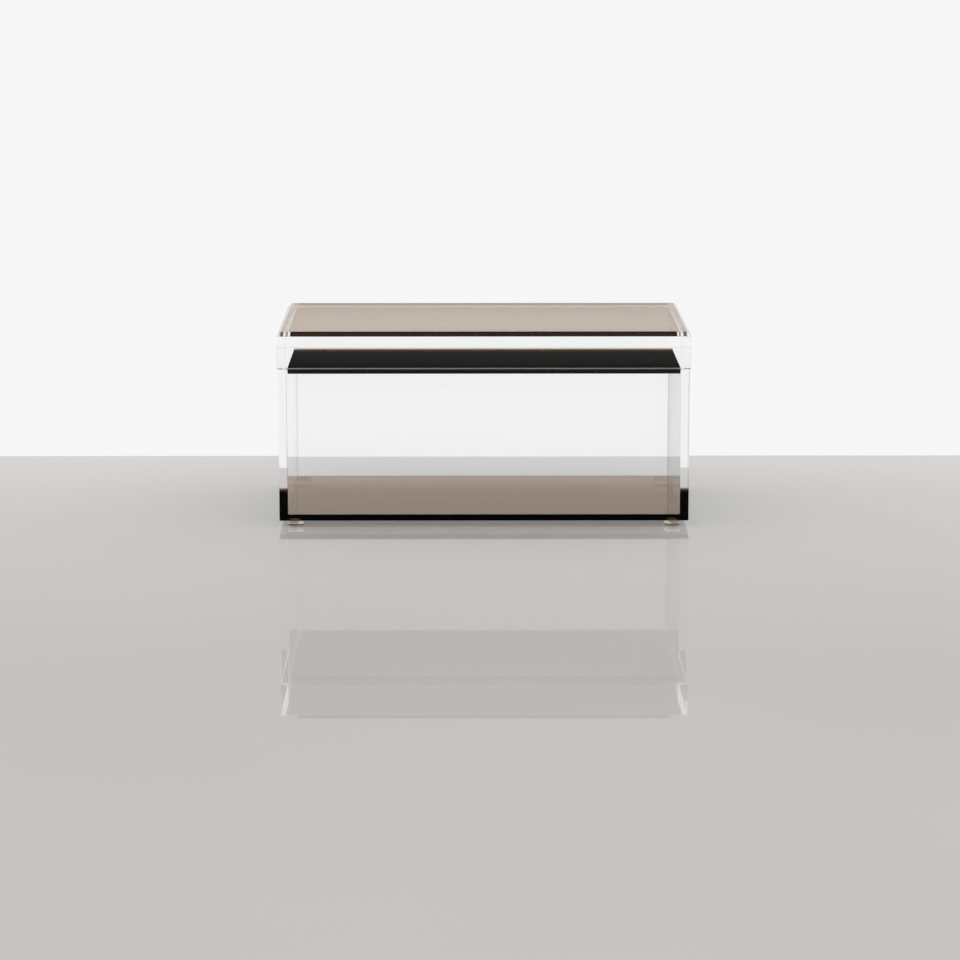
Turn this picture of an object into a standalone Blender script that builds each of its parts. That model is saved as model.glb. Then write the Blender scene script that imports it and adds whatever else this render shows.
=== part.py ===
"""Keepsake box of clear and bronze acrylic: four clear walls on a bronze base plate, a thick clear lid block
with a bronze locating plate under it, and four domed bumper feet.

Metres, +Z up. The origin is on the table under the middle of the box, and the front faces -Y.
"""

import math

import bmesh
import bpy
from mathutils import Vector

# Driving dimensions
BOX_LENGTH = 0.2921  # 11.5 in over the end walls
BOX_DEPTH = 0.1651  # 6.5 in over the front and back walls
WALL = 0.0060  # clear cast sheet
WALL_HEIGHT = 0.1050
BRONZE = 0.0039  # bronze cast sheet of 4 mm nominal, used for the base and the lid's locating plate
LID_THICKNESS = 0.0264  # cast block of 1 in nominal
LID_OVERHANG = 0.0007  # the block stands this far past each wall
LID_CHAMFER = 0.0031  # polished 45 degree chamfer round the top of the block
PLATE_CLEARANCE = 0.0005  # between the locating plate and each wall
PLATE_LEAD_IN = 0.0005  # chamfer that guides the plate between the walls
EDGE_BREAK = 0.0003  # polished edges are broken by this much
FOOT_RADIUS = 0.0056
FOOT_HEIGHT = 0.0047
FOOT_CONTACT_RADIUS = 0.0020  # the dome is flattened where it stands
FOOT_RIM = 0.0005  # straight rim above the dome
FOOT_INSET = 0.0110  # foot centre from the two outer edges of the base
JOINT_GAP = 0.0003  # left at each cemented, stuck or resting face

FOOT_SIDES = 48
DOME_POINTS = 10

# Levels, from the table up
BASE_BOTTOM = FOOT_HEIGHT + JOINT_GAP
BASE_TOP = BASE_BOTTOM + BRONZE
WALL_BOTTOM = BASE_TOP + JOINT_GAP
WALL_TOP = WALL_BOTTOM + WALL_HEIGHT
LID_BOTTOM = WALL_TOP + JOINT_GAP
LID_TOP = LID_BOTTOM + LID_THICKNESS
PLATE_TOP = LID_BOTTOM - JOINT_GAP
PLATE_BOTTOM = PLATE_TOP - BRONZE


def clear_scene():
    for old in list(bpy.data.objects):
        bpy.data.objects.remove(old, do_unlink=True)


def new_collection(name):
    collection = bpy.data.collections.new(name)
    bpy.context.scene.collection.children.link(collection)
    return collection


def acrylic(name, colour, roughness, transmission):
    """A polished plastic: colour in linear RGB."""
    material = bpy.data.materials.new(name)
    material.use_nodes = True
    shader = material.node_tree.nodes["Principled BSDF"]
    shader.inputs["Base Color"].default_value = (*colour, 1.0)
    shader.inputs["Roughness"].default_value = roughness
    shader.inputs["Metallic"].default_value = 0.0
    shader.inputs["IOR"].default_value = 1.49
    shader.inputs["Transmission Weight"].default_value = transmission
    material.diffuse_color = (*colour, 1.0)
    return material


def add_object(name, mesh, material, collection, carrier):
    mesh.materials.append(material)
    obj = bpy.data.objects.new(name, mesh)
    collection.objects.link(obj)
    obj.parent = carrier
    return obj


def carrier_at(name, height, collection):
    """An empty that a body's pieces hang from."""
    empty = bpy.data.objects.new(name, None)
    empty.location = (0.0, 0.0, height)
    collection.objects.link(empty)
    return empty


def weight_edges(mesh, chosen):
    """Gives full bevel weight to the edges whose middle point passes the test."""
    weights = mesh.attributes.new("bevel_weight_edge", "FLOAT", "EDGE")
    for edge in mesh.edges:
        ends = [mesh.vertices[i].co for i in edge.vertices]
        if chosen((ends[0] + ends[1]) / 2):
            weights.data[edge.index].value = 1.0


def sheet_piece(name, size, centre, material, collection, carrier, broken=None):
    """A sawn and polished rectangle of sheet. broken says, by an edge's middle point about the piece's own
    centre, which edges are broken."""
    bm = bmesh.new()
    bmesh.ops.create_cube(bm, size=1.0)
    bmesh.ops.scale(bm, vec=size, verts=bm.verts)
    mesh = bpy.data.meshes.new(name)
    bm.to_mesh(mesh)
    bm.free()
    obj = add_object(name, mesh, material, collection, carrier)
    obj.location = (centre[0], centre[1], centre[2] - carrier.location.z)
    if broken:
        weight_edges(mesh, broken)
        edge_break = obj.modifiers.new("edge break", "BEVEL")
        edge_break.width = EDGE_BREAK
        edge_break.segments = 1
        edge_break.limit_method = "WEIGHT"
    return obj


def wall(name, size, centre, outward, material, collection, carrier):
    """One wall. Its top edges are broken, and so are the upright outer corners of the two long walls, which
    run over the ends of the short ones. Edges that are cemented stay square."""
    half_length, half_height = size[0] / 2, size[2] / 2

    def is_broken(point):
        on_top = point.z > half_height * 0.99
        at_an_end = abs(point.x) > half_length * 0.99
        if outward.y == 0:
            return on_top and at_an_end  # a short wall's own ends are cemented
        return on_top or (at_an_end and point.y * outward.y > 0 and abs(point.z) < half_height * 0.5)

    return sheet_piece(name, size, centre, material, collection, carrier, is_broken)


def build_walls(material, collection, carrier):
    middle = WALL_BOTTOM + WALL_HEIGHT / 2
    long_size = (BOX_LENGTH, WALL, WALL_HEIGHT)
    long_offset = (BOX_DEPTH - WALL) / 2
    short_size = (WALL, BOX_DEPTH - 2 * (WALL + JOINT_GAP), WALL_HEIGHT)
    short_offset = (BOX_LENGTH - WALL) / 2
    for name, size, outward, offset in (
        ("front_wall", long_size, Vector((0, -1, 0)), long_offset),
        ("back_wall", long_size, Vector((0, 1, 0)), long_offset),
        ("left_wall", short_size, Vector((-1, 0, 0)), short_offset),
        ("right_wall", short_size, Vector((1, 0, 0)), short_offset),
    ):
        centre = outward * offset + Vector((0, 0, middle))
        wall(name, size, centre, outward, material, collection, carrier)


def build_base(material, collection, carrier):
    """The bronze plate that the walls are cemented on. Its upper edge meets the walls and stays square."""
    size = (BOX_LENGTH, BOX_DEPTH, BRONZE)
    centre = (0, 0, BASE_BOTTOM + BRONZE / 2)
    sheet_piece(
        "base_plate", size, centre, material, collection, carrier, lambda point: point.z < BRONZE * 0.4
    )


def build_foot(name, x, y, material, collection, carrier):
    """A clear domed bumper: a half profile, from the stuck face out over the rim and down the dome to the flat
    that it stands on, turned about its own axis."""
    dome_height = FOOT_HEIGHT - FOOT_RIM
    profile = [(0.0, FOOT_HEIGHT), (FOOT_RADIUS, FOOT_HEIGHT)]
    last_angle = math.acos(FOOT_CONTACT_RADIUS / FOOT_RADIUS)
    drop_scale = dome_height / math.sin(last_angle)
    for step in range(DOME_POINTS + 1):
        angle = last_angle * step / DOME_POINTS
        profile.append((FOOT_RADIUS * math.cos(angle), dome_height - drop_scale * math.sin(angle)))
    profile.append((0.0, 0.0))

    mesh = bpy.data.meshes.new(name)
    corners = [(radius, 0.0, height) for radius, height in profile]
    mesh.from_pydata(corners, [(i, i + 1) for i in range(len(corners) - 1)], [])
    foot = add_object(name, mesh, material, collection, carrier)
    foot.location = (x, y, 0.0)
    turn = foot.modifiers.new("turn", "SCREW")
    turn.axis = "Z"
    turn.steps = FOOT_SIDES
    turn.render_steps = FOOT_SIDES
    turn.use_merge_vertices = True
    turn.merge_threshold = 0.00001
    turn.use_smooth_shade = True
    return foot


def build_feet(material, collection, carrier):
    x = BOX_LENGTH / 2 - FOOT_INSET
    y = BOX_DEPTH / 2 - FOOT_INSET
    for side, sx in (("left", -1), ("right", 1)):
        for row, sy in (("front", -1), ("back", 1)):
            build_foot(f"foot_{row}_{side}", sx * x, sy * y, material, collection, carrier)


def build_lid_block(material, collection, carrier):
    """The thick clear block: a wide polished chamfer round its top, and the other edges just broken."""
    size = (BOX_LENGTH + 2 * LID_OVERHANG, BOX_DEPTH + 2 * LID_OVERHANG, LID_THICKNESS)
    centre = (0, 0, LID_BOTTOM + LID_THICKNESS / 2)
    block = sheet_piece("lid_block", size, centre, material, collection, carrier)
    weight_edges(block.data, lambda point: point.z > LID_THICKNESS * 0.4)
    chamfer = block.modifiers.new("top chamfer", "BEVEL")
    chamfer.width = LID_CHAMFER
    chamfer.segments = 1
    chamfer.offset_type = "OFFSET"
    chamfer.limit_method = "WEIGHT"
    edge_break = block.modifiers.new("edge break", "BEVEL")
    edge_break.width = EDGE_BREAK
    edge_break.segments = 1
    edge_break.limit_method = "ANGLE"
    edge_break.angle_limit = math.radians(75)  # only the square edges that the chamfer left
    return block


def build_locating_plate(material, collection, carrier):
    """The bronze plate under the block. It drops between the walls and keeps the lid in place."""
    play = 2 * (WALL + PLATE_CLEARANCE)
    size = (BOX_LENGTH - play, BOX_DEPTH - play, BRONZE)
    centre = (0, 0, PLATE_BOTTOM + BRONZE / 2)
    plate = sheet_piece("lid_locating_plate", size, centre, material, collection, carrier)
    weight_edges(plate.data, lambda point: point.z < -BRONZE * 0.4)
    lead_in = plate.modifiers.new("lead-in", "BEVEL")
    lead_in.width = PLATE_LEAD_IN
    lead_in.segments = 1
    lead_in.offset_type = "OFFSET"
    lead_in.limit_method = "WEIGHT"
    return plate


def main():
    clear_scene()
    parts = new_collection("clear_and_bronze_acrylic_box")
    clear = acrylic("clear acrylic", (0.94, 0.95, 0.95), 0.02, 1.0)
    bronze = acrylic("bronze acrylic", (0.16, 0.11, 0.08), 0.04, 0.6)
    rubber = acrylic("clear bumper", (0.80, 0.76, 0.70), 0.20, 0.8)

    box = carrier_at("box", 0.0, parts)
    lid = carrier_at("lid", LID_BOTTOM, parts)  # its height is where the lid seats, on the line that it lifts along

    build_feet(rubber, parts, box)
    build_base(bronze, parts, box)
    build_walls(clear, parts, box)
    build_lid_block(clear, parts, lid)
    build_locating_plate(bronze, parts, lid)


main()
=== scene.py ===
import math

import bmesh
import bpy
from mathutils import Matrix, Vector


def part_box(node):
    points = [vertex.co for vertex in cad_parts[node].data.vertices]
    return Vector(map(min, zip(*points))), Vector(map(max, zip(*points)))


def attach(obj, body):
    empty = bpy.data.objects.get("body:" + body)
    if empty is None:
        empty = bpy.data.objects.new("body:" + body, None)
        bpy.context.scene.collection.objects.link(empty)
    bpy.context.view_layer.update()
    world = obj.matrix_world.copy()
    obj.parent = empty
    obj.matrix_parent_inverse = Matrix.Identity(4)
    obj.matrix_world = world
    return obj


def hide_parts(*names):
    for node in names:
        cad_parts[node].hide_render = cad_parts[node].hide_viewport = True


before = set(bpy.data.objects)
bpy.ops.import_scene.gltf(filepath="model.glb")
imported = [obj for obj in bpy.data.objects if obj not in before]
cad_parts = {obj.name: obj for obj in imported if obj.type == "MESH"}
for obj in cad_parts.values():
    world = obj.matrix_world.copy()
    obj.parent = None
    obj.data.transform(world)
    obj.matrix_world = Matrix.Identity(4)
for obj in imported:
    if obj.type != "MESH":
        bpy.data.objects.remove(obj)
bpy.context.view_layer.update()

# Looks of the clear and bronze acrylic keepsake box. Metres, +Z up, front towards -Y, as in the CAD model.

# Camera, fitted to the box's edges and corners in the photograph
CAMERA_PLACE = Vector((-0.0140738, -2.4602365, 0.4642568))
CAMERA_PITCH = 0.1788  # radians below level
CAMERA_TURN = -0.0047  # radians about the upright, positive to the left
FOCAL_PIXELS = 3390.17
PICTURE_SIDE = 960
SENSOR = 36.0

# Fit
SEAT = 0.00002  # left between cemented pieces
REST = 0.00005  # left under the lid, which only rests on the walls
TOUCH = 0.00001  # two places nearer than this are the same
FACING = 0.9  # a face looks along an axis when its normal has this much of it
SQUARELY = 0.99

# Edges
EDGE_ROUND = 0.00030  # the walls' and the base's edges
CRISP_ROUND = 0.00010  # the crisper edges of the lid and of the locating plate
ROUND_STEPS = 3
SMOOTH_BELOW = math.radians(30)
LID_CHAMFER = 0.0031  # round the lid's top
LID_LOWER_CHAMFER = 0.0006  # along the lid's lower front edge
PLATE_LEAD_IN = 0.0005

# Bumpers
FOOT_RIM = 0.0041  # the straight side, above the shallow dome
FOOT_RIM_ROUND = 0.00015
FOOT_CONTACT_RADIUS = 0.0020
FOOT_SIDES = 96
FOOT_RINGS = 48
FOOT_SMOOTH_BELOW = math.radians(40)

# Acrylic
ACRYLIC_IOR = 1.49
CLEAR_LOSS = (0.26, 0.24, 0.25)  # absorbed per metre of red, green and blue
CLEAR_TINTS = ((0.997, 0.997, 0.997), (1.0, 1.0, 1.0))
BRONZE_LOSS = (152.0, 183.0, 208.0)
BRONZE_TINTS = ((0.980, 0.955, 0.915), (1.0, 0.985, 0.950))
TINT_SPREAD = (0.35, 0.65)  # the haze runs from one tint to the other between these
LOSS_HEADROOM = 1.03
PAINTED_SHADE_TINT = (0.990, 0.990, 0.990)  # painted shade: a faint grey coat on the right wall's inner face only, darker at grazing
CAST_WAVES = 14.0  # noise cells per metre: the slow waves of a casting, cloudy haze and fine wiping marks
HAZE_CLOUDS = 60.0
HAZE_STRETCH = (3.0, 1.0, 1.0)
WIPING_MARKS = 900.0
WIPING_STRETCH = (12.0, 1.0, 4.0)
WIPING_HEIGHT = 0.0015  # of the marks, against the waves
POLISHED = 0.004  # roughness, and what haze and wiping add to it
WIPED = 0.02
CAST_BUMP = {"Strength": 0.03, "Distance": 0.0002}

# Bumper rubber
RUBBER_IOR = 1.5
RUBBER_TINTS = ((0.94, 0.83, 0.69), (0.99, 0.91, 0.79))
RUBBER_CLOUDS = 500.0
RUBBER_GRAIN = 4000.0
RUBBER_BUMP = {"Strength": 0.08, "Distance": 0.00005}
RUBBER_SMOOTH = 0.03  # roughness, and what the clouds add to it
RUBBER_CLOUDED = 0.10
CLOUD_SPREAD = (0.3, 0.7)  # clouds run from one tint to the other between these

# Table
TABLE_BACK = 0.218  # the table ends this far behind the box's middle
TABLE_REACH = 6.0
TABLE_THICKNESS = 0.02
TABLE_IOR = 1.5
TABLE_CLOUDS = 3.0
TABLE_SMOOTH = 0.01  # roughness, and what the clouds add to it
TABLE_CLOUDED = 0.01
TABLE_TINTS = ((0.580, 0.545, 0.502), (0.600, 0.565, 0.522))
TABLE_GLOW = (0.050, 0.063, 0.077)  # painted light: a cool glow, emission standing in for light up through the milky sheet
PAINTED_GLOW_BEHIND_BOX = (0.095, 0.108, 0.122)  # painted light: the same glow, brighter behind the box, as seen through acrylic
PAINTED_GLOW_UNDER_BOX = (0.110, 0.120, 0.125)  # painted light: a brighter pool of glow under the box
BEHIND_BOX = (0.085, 0.1)  # where these begin: from no effect to the whole, along x or y
UNDER_BOX_ALONG = (0.150, 0.142)
UNDER_BOX_ACROSS = (0.087, 0.079)

# Painted dark reflections: the table is painted black in front of the box, in place of a black flag, and
# only polish and clear acrylic see it. The share of the table in front that it hides
FRONT_OF_BOX = (-0.085, -0.1)
PAINTED_DARK_NEAR = 0.90  # as mirrored, near the box and far from it
PAINTED_DARK_FAR = 0.12
PAINTED_DARK_NEAR_EDGE = (-0.95, -0.80)
PAINTED_DARK_THROUGH = 0.90  # as seen through acrylic: a strip far in front
PAINTED_DARK_STRIP_BACK = (-0.70, -0.76)
PAINTED_DARK_STRIP_FRONT = (-1.10, -1.00)

# Studio. The stops are degrees above level, and the colour there
BACKDROP = (0.932, 0.925, 0.928)  # as the eye sees it
SOFT_LIGHT = (0.95, 0.95, 0.95)  # on all that isn't polished
DIM = (0.12, 0.12, 0.12)
OVERHEAD = (0.36, 0.33, 0.30)
MIRRORED = (
    (-90, DIM),
    (-15, (0.14, 0.14, 0.14)),
    (-11, (0.96, 0.96, 0.96)),
    (0, (0.96, 0.96, 0.96)),
    (6.98, (0.55, 0.47, 0.42)),
    (7.44, (1.03, 0.945, 0.83)),  # a low warm glare
    (7.90, (0.68, 0.535, 0.480)),
    (9.70, (0.79, 0.79, 0.79)),
    (10.3, (0.63, 0.63, 0.63)),
    (11.2, (0.55, 0.55, 0.55)),
    (13.2, (0.37, 0.37, 0.37)),
    (20, OVERHEAD),
    (90, OVERHEAD),
)
SEEN_THROUGH = (
    (-90, (0.96, 0.96, 0.96)),
    (5, (0.97, 0.97, 0.97)),
    (7.5, (0.955, 0.953, 0.955)),
    (9.8, (0.90, 0.90, 0.90)),
    (10.2, (0.65, 0.52, 0.42)),
    (10.9, (0.60, 0.48, 0.39)),
    (11.5, (0.50, 0.50, 0.50)),
    (13.2, (0.36, 0.36, 0.36)),
    (20, OVERHEAD),
    (90, OVERHEAD),
)
PLAIN_STUDIO = (
    (-90, (0.90, 0.90, 0.90)),
    (5, (0.92, 0.92, 0.92)),
    (10, (0.80, 0.80, 0.80)),
    (20, OVERHEAD),
    (90, OVERHEAD),
)
BACKDROP_HALF_WIDTH = 10.0  # degrees to either side of straight back. The plain studio is beyond
BACKDROP_EDGE = (0.06, 0.0)
STAND_SHARE = (0.15, 0.15, 0.15)  # a dark stand low down behind the table, against the backdrop
STAND_HALF_WIDTH = 5.0  # degrees
STAND_LOW = -21.5  # degrees above level
STAND_HIGH = -10.8
STAND_EDGE = 0.01
ROOM_SHARE = (0.7, 0.7, 0.7)  # the room on the camera's side, against the backdrop's side
ROOM_BEGINS = (0.3, -0.3)  # forwards
ROOM_RISES = (-0.02, 0.06)


class Value:
    """A socket that carries a number or a colour. Arithmetic on a number adds Math nodes."""

    def __init__(self, finish, socket):
        self.finish = finish
        self.socket = socket

    def maths(self, operation, first, second=None):
        values = {0: first} if second is None else {0: first, 1: second}
        return self.finish.node("ShaderNodeMath", {"operation": operation}, values)

    def __add__(self, other):
        return self.maths("ADD", self, other)

    __radd__ = __add__

    def __sub__(self, other):
        return self.maths("SUBTRACT", self, other)

    def __rsub__(self, other):
        return self.maths("SUBTRACT", other, self)

    def __mul__(self, other):
        return self.maths("MULTIPLY", self, other)

    __rmul__ = __mul__

    def __abs__(self):
        return self.maths("ABSOLUTE", self)

    def __gt__(self, other):
        return self.maths("GREATER_THAN", self, other)

    def __lt__(self, other):
        return self.maths("LESS_THAN", self, other)


class Finish:
    """The nodes of a material or of the world, from nothing."""

    def __init__(self, owner):
        owner.use_nodes = True
        self.tree = owner.node_tree
        self.tree.nodes.clear()

    def node(self, kind, settings=None, sockets=None, output=0):
        """Adds a node with its settings, then gives its sockets values or links, and returns one output."""
        made = self.tree.nodes.new(kind)
        for name, setting in (settings or {}).items():
            if name == "stops":
                self.set_stops(made.color_ramp, setting)
            else:
                setattr(made, name, setting)
        for name, value in (sockets or {}).items():
            if isinstance(value, Value):
                self.tree.links.new(value.socket, made.inputs[name])
            else:
                made.inputs[name].default_value = value
        return Value(self, made.outputs[output]) if made.outputs else None

    @staticmethod
    def set_stops(ramp, stops):
        for place, _ in stops[2:]:
            ramp.elements.new(place)
        for element, (place, colour) in zip(ramp.elements, stops):
            element.position = place
            element.color = (*colour, 1.0)

    def ramp(self, value, stops):
        """A colour that follows a value through its stops."""
        return self.node("ShaderNodeValToRGB", {"stops": stops}, {"Fac": value})

    def split(self, vector):
        """The x, y and z of a vector."""
        return [self.node("ShaderNodeSeparateXYZ", sockets={0: vector}, output=i) for i in range(3)]

    def blend(self, share, first, second):
        """A colour between two others."""
        colours = {6: first if isinstance(first, Value) else (*first, 1.0)}
        colours[7] = second if isinstance(second, Value) else (*second, 1.0)
        return self.node("ShaderNodeMix", {"data_type": "RGBA"}, {0: share, **colours}, output=2)

    def tinted(self, colour, tint):
        """A colour times another."""
        settings = {"data_type": "RGBA", "blend_type": "MULTIPLY"}
        return self.node("ShaderNodeMix", settings, {0: 1.0, 6: colour, 7: (*tint, 1.0)}, output=2)

    def mark(self, name):
        """1 on the faces that were marked with this name, else 0."""
        return self.node("ShaderNodeAttribute", {"attribute_name": name}, output=2)

    def ray(self, kind):
        """1 for a ray of this kind, else 0. Glossy rays are the mirrored and the bent ones."""
        return self.node("ShaderNodeLightPath", output=f"Is {kind} Ray")

    def before_diffuse(self):
        """1 while a ray has only met gloss and glass, and 0 once it has been scattered."""
        return self.node("ShaderNodeLightPath", output="Diffuse Depth") < 0.5

    def after_mirror(self):
        """1 once a ray has been mirrored, from outside or inside, and 0 while it has only been bent."""
        return self.node("ShaderNodeLightPath", output="Glossy Depth") > 0.5

    def ease(self, value, start, end):
        """Goes smoothly from 0 to 1 as the value goes from start to end."""
        limits = {"Value": value, "From Min": start, "From Max": end}
        return self.node("ShaderNodeMapRange", {"interpolation_type": "SMOOTHSTEP"}, limits)

    def noise(self, place, scale, detail=2.0, stretch=(1.0, 1.0, 1.0)):
        """Cloudy noise about 0.5 on a place, with its cells stretched along the axes."""
        squeezed = tuple(1.0 / s for s in stretch)
        mapped = self.node("ShaderNodeMapping", {}, {"Vector": place, "Scale": squeezed})
        return self.node("ShaderNodeTexNoise", {}, {"Vector": mapped, "Scale": scale, "Detail": detail})


# Modelling


def add_sheet(name, low, high):
    """A sawn piece of sheet or block between two corners, ready to be shaped in edit mode."""
    bpy.ops.object.select_all(action="DESELECT")
    bpy.ops.mesh.primitive_cube_add(size=1.0, location=(low + high) / 2)
    piece = bpy.context.object
    piece.name = name
    piece.data.name = name
    piece.scale = high - low
    bpy.ops.object.transform_apply(location=True, rotation=True, scale=True)
    bpy.ops.object.mode_set(mode="EDIT")
    return piece


def middle(part):
    """The middle point of an edge or a face."""
    corners = [corner.co for corner in part.verts]
    return sum(corners, Vector()) / len(corners)


def choose(piece, kind, wanted):
    """In edit mode, selects the edges or faces that pass the test, and nothing else."""
    bpy.ops.mesh.select_mode(type=kind)
    bpy.ops.mesh.select_all(action="DESELECT")
    mesh = bmesh.from_edit_mesh(piece.data)
    for part in mesh.edges if kind == "EDGE" else mesh.faces:
        part.select_set(wanted(part))
    mesh.select_flush_mode()
    bmesh.update_edit_mesh(piece.data)


def weigh_edges(piece, wanted, radius=EDGE_ROUND):
    """In edit mode, marks edges to be rounded, as a share of the widest rounding."""
    choose(piece, "EDGE", wanted)
    bpy.ops.transform.edge_bevelweight(value=radius / EDGE_ROUND)


def cut_across(place, normal):
    """In edit mode, runs a line of edges round the piece where a plane crosses it."""
    bpy.ops.mesh.select_all(action="SELECT")
    bpy.ops.mesh.bisect(plane_co=place, plane_no=normal, threshold=TOUCH)


def cut_off(place, normal):
    """In edit mode, takes away what lies beyond a plane and closes the cut."""
    bpy.ops.mesh.select_all(action="SELECT")
    bpy.ops.mesh.bisect(plane_co=place, plane_no=normal, threshold=TOUCH, use_fill=True, clear_outer=True)


def round_edges(piece):
    """Leaves edit mode and rounds the marked edges. The flat faces stay flat to the eye."""
    bpy.ops.object.mode_set(mode="OBJECT")
    bpy.ops.object.shade_smooth_by_angle(angle=SMOOTH_BELOW)
    rounding = piece.modifiers.new("polished edges", "BEVEL")
    rounding.limit_method = "WEIGHT"
    rounding.width = EDGE_ROUND
    rounding.segments = ROUND_STEPS
    rounding.harden_normals = True
    bpy.ops.object.modifier_apply(modifier=rounding.name)


def mark_faces(piece, name, wanted):
    """Marks faces for the materials, by their middle and normal."""
    marks = piece.data.attributes.new(name, "FLOAT", "FACE")
    for face in piece.data.polygons:
        marks.data[face.index].value = 1.0 if wanted(face.center, face.normal) else 0.0


def seat(piece, material, body, node):
    """Gives a finished piece its material and its place among the CAD bodies."""
    piece.data.materials.clear()
    piece.data.materials.append(material)
    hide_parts(node)
    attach(piece, body)


# The pieces


def make_long_wall(node, outward, levels, material):
    """A wall that runs the whole length, over the ends of the two short walls."""
    low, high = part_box(node)
    low.z, high.z = levels
    thickness = high.y - low.y
    inner_face = low.y if outward > 0 else high.y
    piece = add_sheet("clear_" + node, low, high)
    for side in (low.x + thickness, high.x - thickness):
        cut_across((side, 0.0, 0.0), (1.0, 0.0, 0.0))

    def is_polished(edge):
        at = middle(edge)
        if abs(at.z - high.z) < TOUCH:
            on_rim = abs(at.y - low.y) < TOUCH or abs(at.y - high.y) < TOUCH
            return on_rim or abs(abs(at.x) - high.x) < TOUCH
        on_end = abs(abs(at.x) - high.x) < TOUCH
        return on_end and abs(at.y - inner_face) > thickness / 2 + TOUCH and at.z > low.z + TOUCH

    def is_cemented(at, normal):
        if normal.z < -FACING:
            return True
        return normal.y * outward < -FACING and abs(at.x) > high.x - thickness

    weigh_edges(piece, is_polished)
    round_edges(piece)
    mark_faces(piece, "cemented", is_cemented)
    seat(piece, material, "box", node)


def make_short_wall(node, levels, span, material):
    """A wall cemented between the two long walls."""
    low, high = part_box(node)
    low.z, high.z = levels
    low.y, high.y = span
    piece = add_sheet("clear_" + node, low, high)
    weigh_edges(piece, lambda edge: abs(middle(edge).z - high.z) < TOUCH and abs(middle(edge).y) < TOUCH)
    round_edges(piece)
    mark_faces(piece, "cemented", lambda at, normal: normal.z < -FACING or abs(normal.y) > FACING)
    if node == "right_wall":
        # the right wall's inner face is marked for a painted shade
        mark_faces(piece, "hazed", lambda at, normal: normal.x < -FACING)
    seat(piece, material, "box", node)


def make_base(material):
    """The bronze plate under the walls. Its rim is cemented to them."""
    low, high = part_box("base_plate")
    wall_low, wall_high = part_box("front_wall")
    rim = wall_high.y - wall_low.y
    piece = add_sheet("bronze_base_plate", low, high)
    choose(piece, "FACE", lambda face: face.normal.z > FACING)
    bpy.ops.mesh.inset(thickness=rim)
    weigh_edges(piece, lambda edge: middle(edge).z < high.z - TOUCH)
    round_edges(piece)

    def is_cemented(at, normal):
        on_rim = abs(at.x) > high.x - rim or abs(at.y) > high.y - rim
        return normal.z > FACING and on_rim

    mark_faces(piece, "cemented", is_cemented)
    seat(piece, material, "box", "base_plate")


def make_lid_block(material):
    """The thick clear block, chamfered round its top. The middle of its underside is cemented."""
    low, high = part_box("lid_block")
    plate_low, plate_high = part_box("lid_locating_plate")
    piece = add_sheet("clear_lid_block", low, high)
    choose(piece, "EDGE", lambda edge: abs(middle(edge).z - high.z) < TOUCH)
    bpy.ops.mesh.bevel(offset=LID_CHAMFER, offset_type="OFFSET", segments=1, affect="EDGES")
    choose(piece, "EDGE", lambda edge: middle(edge).z < low.z + TOUCH and middle(edge).y < low.y + TOUCH)
    bpy.ops.mesh.bevel(offset=LID_LOWER_CHAMFER, offset_type="OFFSET", segments=1, affect="EDGES")
    for side in (plate_low.x, plate_high.x):
        cut_across((side, 0.0, 0.0), (1.0, 0.0, 0.0))
    for side in (plate_low.y, plate_high.y):
        cut_across((0.0, side, 0.0), (0.0, 1.0, 0.0))

    def is_edge(edge):
        normals = [face.normal for face in edge.link_faces]
        return normals[0].dot(normals[1]) < SQUARELY

    def is_cemented(at, normal):
        over_plate = abs(at.x) < plate_high.x - TOUCH and abs(at.y) < plate_high.y - TOUCH
        return normal.z < -FACING and over_plate

    weigh_edges(piece, is_edge, CRISP_ROUND)
    round_edges(piece)
    mark_faces(piece, "cemented", is_cemented)
    seat(piece, material, "lid", "lid_block")


def make_locating_plate(material):
    """The bronze plate under the block, with a lead-in round its lower edge."""
    low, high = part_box("lid_locating_plate")
    high.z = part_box("lid_block")[0].z - SEAT
    piece = add_sheet("bronze_locating_plate", low, high)
    choose(piece, "EDGE", lambda edge: abs(middle(edge).z - low.z) < TOUCH)
    bpy.ops.mesh.bevel(offset=PLATE_LEAD_IN, offset_type="OFFSET", segments=1, affect="EDGES")
    weigh_edges(piece, lambda edge: middle(edge).z < high.z - TOUCH, CRISP_ROUND)
    round_edges(piece)
    mark_faces(piece, "cemented", lambda at, normal: normal.z > FACING)
    seat(piece, material, "lid", "lid_locating_plate")


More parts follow.
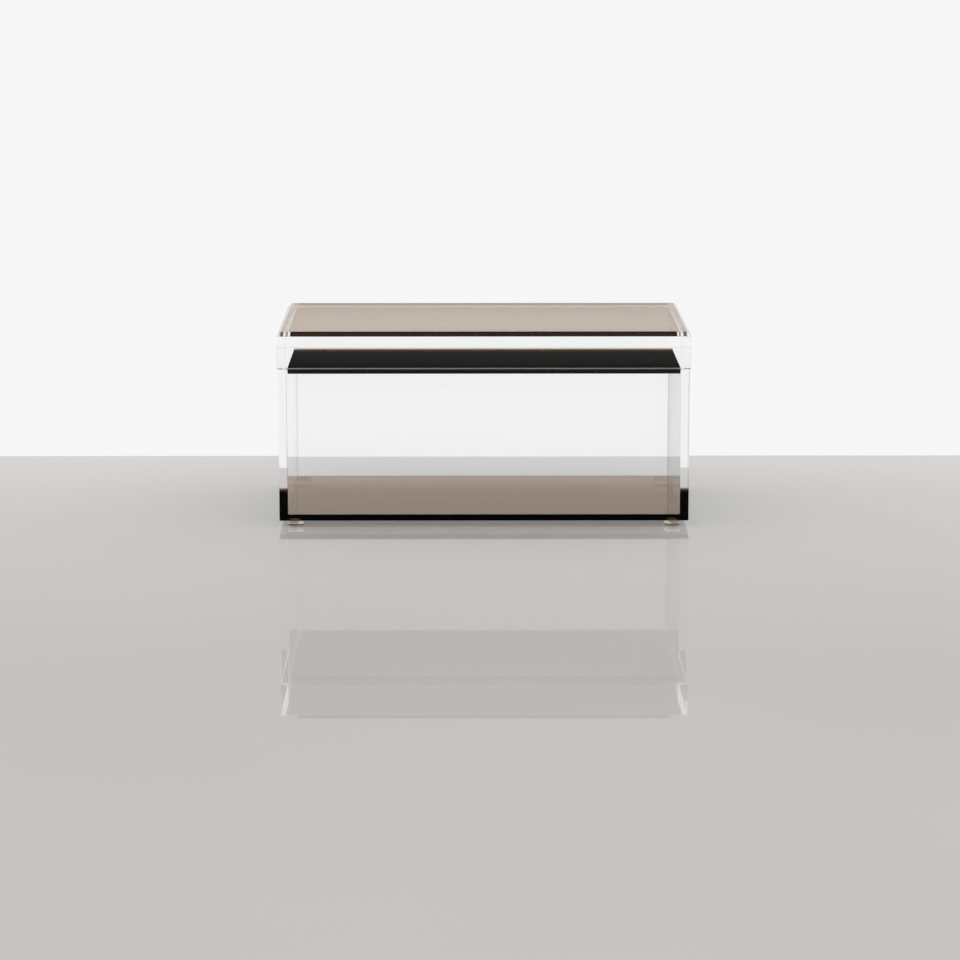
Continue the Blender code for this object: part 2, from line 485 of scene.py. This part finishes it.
def make_foot(node, material):
    """A bumper: a straight round side over the lower half of a flattened ball, flat where it stands."""
    low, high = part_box(node)
    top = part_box("base_plate")[0].z - SEAT
    radius = (high.x - low.x) / 2
    rim_bottom = high.z - FOOT_RIM
    ball_depth = math.sqrt(radius**2 - FOOT_CONTACT_RADIUS**2)  # from the ball's middle down to the flat

    bpy.ops.object.select_all(action="DESELECT")
    bpy.ops.mesh.primitive_uv_sphere_add(segments=FOOT_SIDES, ring_count=FOOT_RINGS, radius=radius)
    piece = bpy.context.object
    piece.name = node.replace("foot", "bumper")
    piece.data.name = piece.name
    bpy.ops.object.mode_set(mode="EDIT")
    cut_off((0.0, 0.0, 0.0), (0.0, 0.0, 1.0))
    cut_off((0.0, 0.0, -ball_depth), (0.0, 0.0, -1.0))
    bpy.ops.object.mode_set(mode="OBJECT")
    piece.scale = (1.0, 1.0, rim_bottom / ball_depth)
    piece.location = ((low.x + high.x) / 2, (low.y + high.y) / 2, rim_bottom)
    bpy.ops.object.transform_apply(location=True, rotation=True, scale=True)

    bpy.ops.object.mode_set(mode="EDIT")
    choose(piece, "FACE", lambda face: face.normal.z > SQUARELY)
    bpy.ops.mesh.extrude_region_move(TRANSFORM_OT_translate={"value": (0.0, 0.0, top - rim_bottom)})
    choose(piece, "EDGE", lambda edge: all(abs(corner.co.z - top) < TOUCH for corner in edge.verts))
    bpy.ops.mesh.bevel(offset=FOOT_RIM_ROUND, segments=2, affect="EDGES")
    small = FOOT_CONTACT_RADIUS**2
    choose(piece, "FACE", lambda face: face.normal.z < -SQUARELY and face.calc_area() > small)
    bpy.ops.mesh.inset(thickness=FOOT_RIM_ROUND)
    bpy.ops.object.mode_set(mode="OBJECT")
    bpy.ops.object.shade_smooth_by_angle(angle=FOOT_SMOOTH_BELOW)
    mark_faces(piece, "cemented", lambda at, normal: normal.z > SQUARELY and at.z > top - TOUCH)
    seat(piece, material, "box", node)


# Materials


def absorbing(finish, loss):
    """A volume that absorbs so much of each colour per metre."""
    density = max(loss) * LOSS_HEADROOM
    colour = (*(1.0 - part / density for part in loss), 1.0)
    return finish.node("ShaderNodeVolumeAbsorption", {}, {"Color": colour, "Density": density})


def cast_acrylic(name, loss, tints, open_share):
    """Polished cast sheet. open_share works out, from the finish and the place, where it meets air."""
    material = bpy.data.materials.new(name)
    finish = Finish(material)
    place = finish.node("ShaderNodeTexCoord", output=3)
    waves = finish.noise(place, CAST_WAVES, 1.0)
    haze = finish.noise(place, HAZE_CLOUDS, 3.0, stretch=HAZE_STRETCH)
    wiping = finish.noise(place, WIPING_MARKS, 2.0, stretch=WIPING_STRETCH)
    bump = finish.node("ShaderNodeBump", {}, {**CAST_BUMP, "Height": waves + WIPING_HEIGHT * wiping})
    shader = finish.node(
        "ShaderNodeBsdfPrincipled",
        {},
        {
            "Base Color": finish.ramp(haze, list(zip(TINT_SPREAD, tints))),
            "Roughness": POLISHED + WIPED * haze * wiping,
            "IOR": ACRYLIC_IOR,
            "Transmission Weight": 1.0,
            # the coat paints shade on the marked inner face of the right wall; it only tints
            "Coat Weight": finish.mark("hazed"),
            "Coat IOR": 1.0,
            "Coat Tint": (*PAINTED_SHADE_TINT, 1.0),
            "Alpha": open_share(finish, place),
            "Normal": bump,
        },
    )
    finish.node("ShaderNodeOutputMaterial", {}, {"Surface": shader, "Volume": absorbing(finish, loss)})
    return material


def away_from_cement(finish, place):
    """1 where a piece meets air and 0 where cement joins it to its neighbour."""
    return 1.0 - finish.mark("cemented")


def away_from_cement_and_feet(finish, place):
    """The same for the bronze pieces. The feet are stuck under the base, on discs."""
    low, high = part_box("foot_back_right")
    radius = (high.x - low.x) / 2 - FOOT_RIM_ROUND
    x, y, z = finish.split(place)
    across = abs(x) - (low.x + high.x) / 2
    along = abs(y) - (low.y + high.y) / 2
    under_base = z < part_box("base_plate")[0].z + TOUCH
    on_foot = (across * across + along * along < radius**2) * under_base
    return away_from_cement(finish, place) * (1.0 - on_foot)


def bumper_rubber():
    """Clear moulded polyurethane, a little warm and not quite polished."""
    material = bpy.data.materials.new("clear polyurethane bumper")
    finish = Finish(material)
    place = finish.node("ShaderNodeTexCoord", output=3)
    cloud = finish.noise(place, RUBBER_CLOUDS, 3.0)
    grain = finish.noise(place, RUBBER_GRAIN, 2.0)
    shader = finish.node(
        "ShaderNodeBsdfPrincipled",
        {},
        {
            "Base Color": finish.ramp(cloud, list(zip(CLOUD_SPREAD, RUBBER_TINTS))),
            "Roughness": RUBBER_SMOOTH + RUBBER_CLOUDED * cloud,
            "IOR": RUBBER_IOR,
            "Transmission Weight": 1.0,
            "Alpha": away_from_cement(finish, place),
            "Normal": finish.node("ShaderNodeBump", {}, {**RUBBER_BUMP, "Height": grain}),
        },
    )
    finish.node("ShaderNodeOutputMaterial", {}, {"Surface": shader})
    return material


def painted_table_glow(finish, x, y):
    """A glow painted on the table as emission, standing in for light up through the milky sheet, with
    painted pools of light under the box and behind it. The eye, polish and acrylic see it, and it lights
    nothing.
    """
    seen_behind = finish.ray("Transmission") * finish.ease(y, *BEHIND_BOX)
    under_box = finish.ease(abs(x), *UNDER_BOX_ALONG) * finish.ease(abs(y), *UNDER_BOX_ACROSS)
    is_looking = (finish.ray("Camera") + finish.ray("Glossy")) * finish.before_diffuse()
    glow = finish.blend(seen_behind, TABLE_GLOW, PAINTED_GLOW_BEHIND_BOX)
    glow = finish.blend(under_box, glow, PAINTED_GLOW_UNDER_BOX)
    return finish.blend(is_looking, (0.0, 0.0, 0.0), glow)


def painted_dark_reflections(finish, y):
    """How much of the table is painted black for polish and clear acrylic: painted dark reflections."""
    mirrored = PAINTED_DARK_FAR + (PAINTED_DARK_NEAR - PAINTED_DARK_FAR) * finish.ease(y, *PAINTED_DARK_NEAR_EDGE)
    through = PAINTED_DARK_THROUGH * finish.ease(y, *PAINTED_DARK_STRIP_BACK) * finish.ease(y, *PAINTED_DARK_STRIP_FRONT)
    share = through + (mirrored - through) * finish.ray("Reflection")
    return share * finish.ease(y, *FRONT_OF_BOX) * finish.ray("Glossy")


def table_top():
    """A polished milky sheet, lit from above. A painted glow stands in for light from below, and the table
    is painted black in front of the box for polish and acrylic.
    """
    material = bpy.data.materials.new("pale grey table top")
    finish = Finish(material)
    place = finish.node("ShaderNodeTexCoord", output=3)
    cloud = finish.noise(place, TABLE_CLOUDS, 2.0)
    x, y = finish.split(place)[:2]
    sheet = finish.node(
        "ShaderNodeBsdfPrincipled",
        {},
        {
            "Base Color": finish.ramp(cloud, list(zip(CLOUD_SPREAD, TABLE_TINTS))),
            "Roughness": TABLE_SMOOTH + TABLE_CLOUDED * cloud,
            "IOR": TABLE_IOR,
            # painted light: the table's glow, brighter under and behind the box
            "Emission Color": painted_table_glow(finish, x, y),
            "Emission Strength": 1.0,
        },
    )
    black = finish.node("ShaderNodeBsdfDiffuse", {}, {"Color": (0.0, 0.0, 0.0, 1.0)})
    # painted dark reflections: the table turns black in front of the box for glossy rays
    surface = finish.node("ShaderNodeMixShader", {}, {0: painted_dark_reflections(finish, y), 1: sheet, 2: black})
    finish.node("ShaderNodeOutputMaterial", {}, {"Surface": surface})
    return material


# Stage


def make_table():
    low = Vector((-TABLE_REACH, -TABLE_REACH, -TABLE_THICKNESS))
    high = Vector((TABLE_REACH, TABLE_BACK, 0.0))
    piece = add_sheet("table", low, high)
    bpy.ops.object.mode_set(mode="OBJECT")
    piece.data.materials.append(table_top())


def on_ramp(stops):
    """Moves stops from degrees above level to the studio's ramps, which follow a direction's height."""
    return [((math.sin(math.radians(degrees)) + 1) / 2, colour) for degrees, colour in stops]


def past_side(x, y, half_width):
    """How far a direction is past so many degrees to either side of straight back. Below 0 is within."""
    return abs(x) - y * math.tan(math.radians(half_width))


def dark_stand(finish, x, y, z):
    """1 on the stand behind the table, for rays that have been mirrored inside the acrylic, else 0."""
    low, high = (math.sin(math.radians(degrees)) for degrees in (STAND_LOW, STAND_HIGH))
    upright = finish.ease(z, high, high - STAND_EDGE) * finish.ease(z, low, low + STAND_EDGE)
    level = finish.ease(past_side(x, y, STAND_HALF_WIDTH), 0.0, -STAND_EDGE)
    return upright * level * finish.after_mirror()


def make_studio():
    """Soft light from all round, and an even white backdrop to the eye. Polish and clear acrylic see the
    backdrop fade upwards into a dim room, each with its own colours, and a plain studio to its sides."""
    world = bpy.data.worlds.new("studio")
    bpy.context.scene.world = world
    finish = Finish(world)
    x, y, z = finish.split(finish.node("ShaderNodeTexCoord", output=0))
    height = z * 0.5 + 0.5
    mirrored, seen_through, plain = (
        finish.ramp(height, on_ramp(stops)) for stops in (MIRRORED, SEEN_THROUGH, PLAIN_STUDIO)
    )
    seen_through = finish.blend(
        dark_stand(finish, x, y, z), seen_through, finish.tinted(seen_through, STAND_SHARE)
    )
    backdrop = finish.blend(finish.ray("Transmission"), mirrored, seen_through)
    straight_back = finish.ease(past_side(x, y, BACKDROP_HALF_WIDTH), *BACKDROP_EDGE)
    studio = finish.blend(straight_back, plain, backdrop)
    in_front = finish.ease(y, *ROOM_BEGINS) * finish.ease(z, *ROOM_RISES)
    studio = finish.blend(in_front, studio, finish.tinted(studio, ROOM_SHARE))

    is_gloss = finish.ray("Glossy") * finish.before_diffuse()
    light = finish.blend(is_gloss, SOFT_LIGHT, studio)
    colour = finish.blend(finish.ray("Camera"), light, BACKDROP)
    background = finish.node("ShaderNodeBackground", {}, {"Color": colour, "Strength": 1.0})
    finish.node("ShaderNodeOutputWorld", {}, {"Surface": background})


def place_camera():
    data = bpy.data.cameras.new("camera")
    data.sensor_width = SENSOR
    data.lens = SENSOR * FOCAL_PIXELS / PICTURE_SIDE
    camera = bpy.data.objects.new("camera", data)
    bpy.context.scene.collection.objects.link(camera)
    camera.location = CAMERA_PLACE
    camera.rotation_euler = (math.pi / 2 - CAMERA_PITCH, 0.0, CAMERA_TURN)
    bpy.context.scene.camera = camera


def set_light_paths(scene):
    """Enough bounces for light that turns back and forth inside the blocks."""
    scene.view_settings.view_transform = "Standard"
    scene.cycles.max_bounces = 40
    scene.cycles.transmission_bounces = 40
    scene.cycles.glossy_bounces = 24
    scene.cycles.transparent_max_bounces = 64


def main():
    place_camera()
    set_light_paths(bpy.context.scene)
    make_studio()
    make_table()

    clear = cast_acrylic("clear cast acrylic", CLEAR_LOSS, CLEAR_TINTS, away_from_cement)
    bronze = cast_acrylic("bronze cast acrylic", BRONZE_LOSS, BRONZE_TINTS, away_from_cement_and_feet)
    rubber = bumper_rubber()

    base_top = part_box("base_plate")[1].z
    lid_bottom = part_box("lid_block")[0].z
    wall_levels = (base_top + SEAT, lid_bottom - REST)
    short_span = (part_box("front_wall")[1].y + SEAT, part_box("back_wall")[0].y - SEAT)
    make_long_wall("front_wall", -1, wall_levels, clear)
    make_long_wall("back_wall", 1, wall_levels, clear)
    make_short_wall("left_wall", wall_levels, short_span, clear)
    make_short_wall("right_wall", wall_levels, short_span, clear)
    make_base(bronze)
    make_lid_block(clear)
    make_locating_plate(bronze)
    for row in ("front", "back"):
        for side in ("left", "right"):
            make_foot(f"foot_{row}_{side}", rubber)


main()
